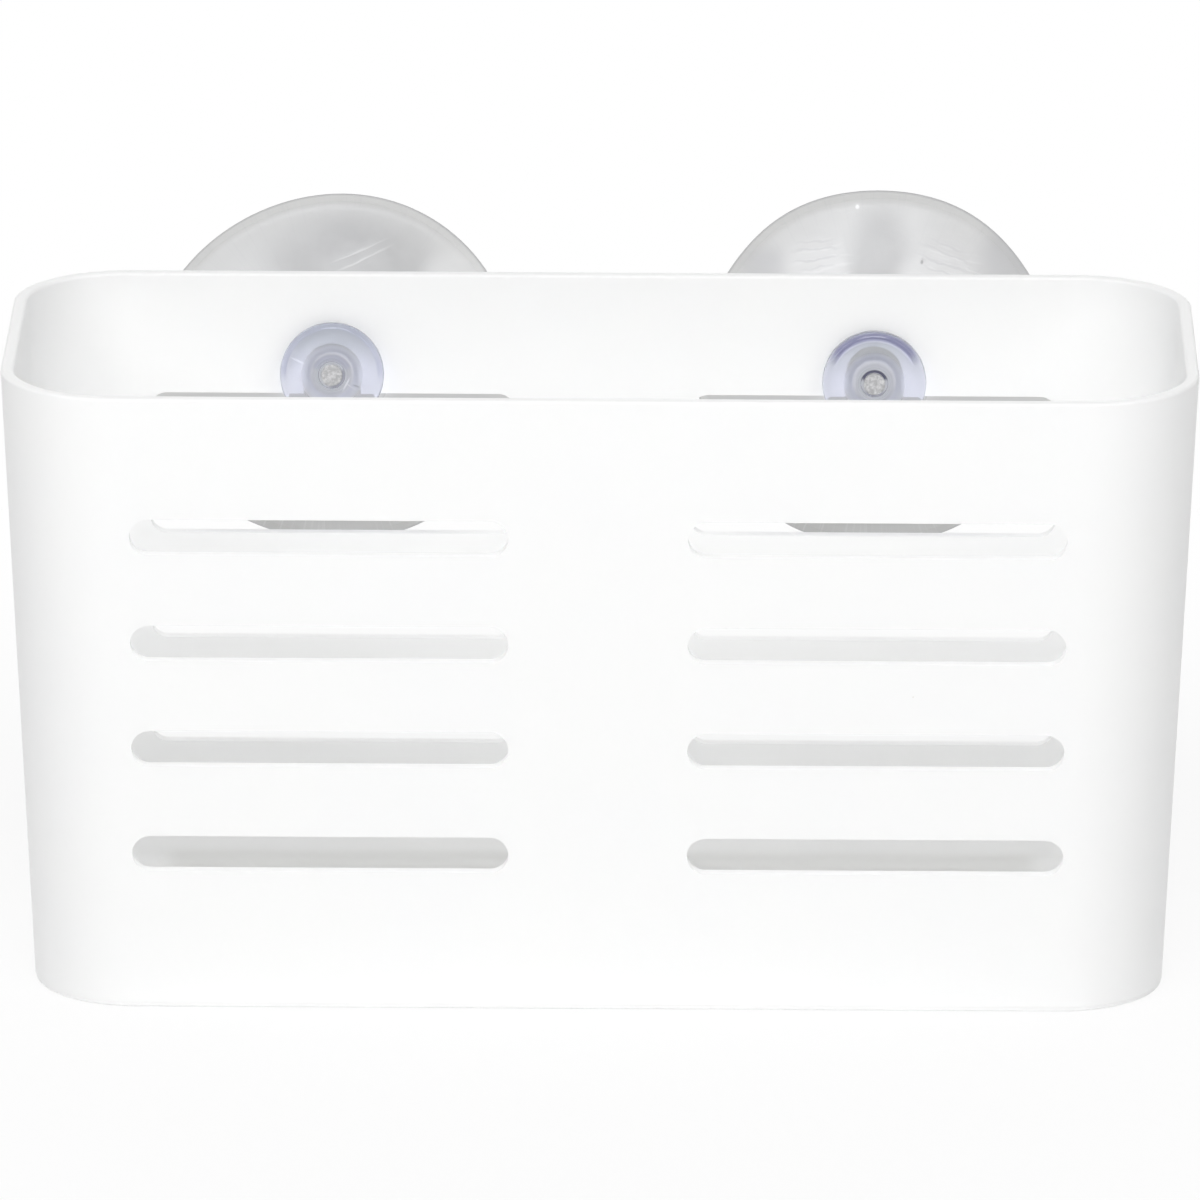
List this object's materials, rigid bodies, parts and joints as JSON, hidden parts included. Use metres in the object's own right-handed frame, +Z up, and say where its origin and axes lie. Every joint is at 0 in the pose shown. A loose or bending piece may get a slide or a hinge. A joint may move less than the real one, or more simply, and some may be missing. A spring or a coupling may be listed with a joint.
{
  "type": "suction basket",
  "caption": "Deep slotted wall basket with an open top, hung on two clear suction cups in arched notches of its back wall.",
  "frame": {"origin": "middle of the tub's underside, on the surface that it stands on", "axes": "+Z up towards the open top, +X along the tub's length to the right as seen from its front, +Y towards the back wall with the suction cups"},
  "size_m": [0.255, 0.1245, 0.1502],
  "materials": {
    "white_polypropylene": "satin white, lightly used",
    "clear_pvc": "clear with a faint blue tint, glossy"
  },
  "bodies": {
    "basket": {"basket": "white_polypropylene"},
    "suction_cup_left": {"suction_cup_left": "clear_pvc"},
    "suction_cup_right": {"suction_cup_right": "clear_pvc"}
  },
  "joints": [
    {"name": "left_cup_tilt", "type": "hinge", "parent": "basket", "child": "suction_cup_left", "pos_m": [-0.0592, 0.04881, 0.1144], "axis": [1, 0, 0], "range_deg": [0, 19.4]},
    {"name": "right_cup_tilt", "type": "hinge", "parent": "basket", "child": "suction_cup_right", "pos_m": [0.0592, 0.04878, 0.11345], "axis": [1, 0, 0], "range_deg": [0, 11.6]}
  ]
}
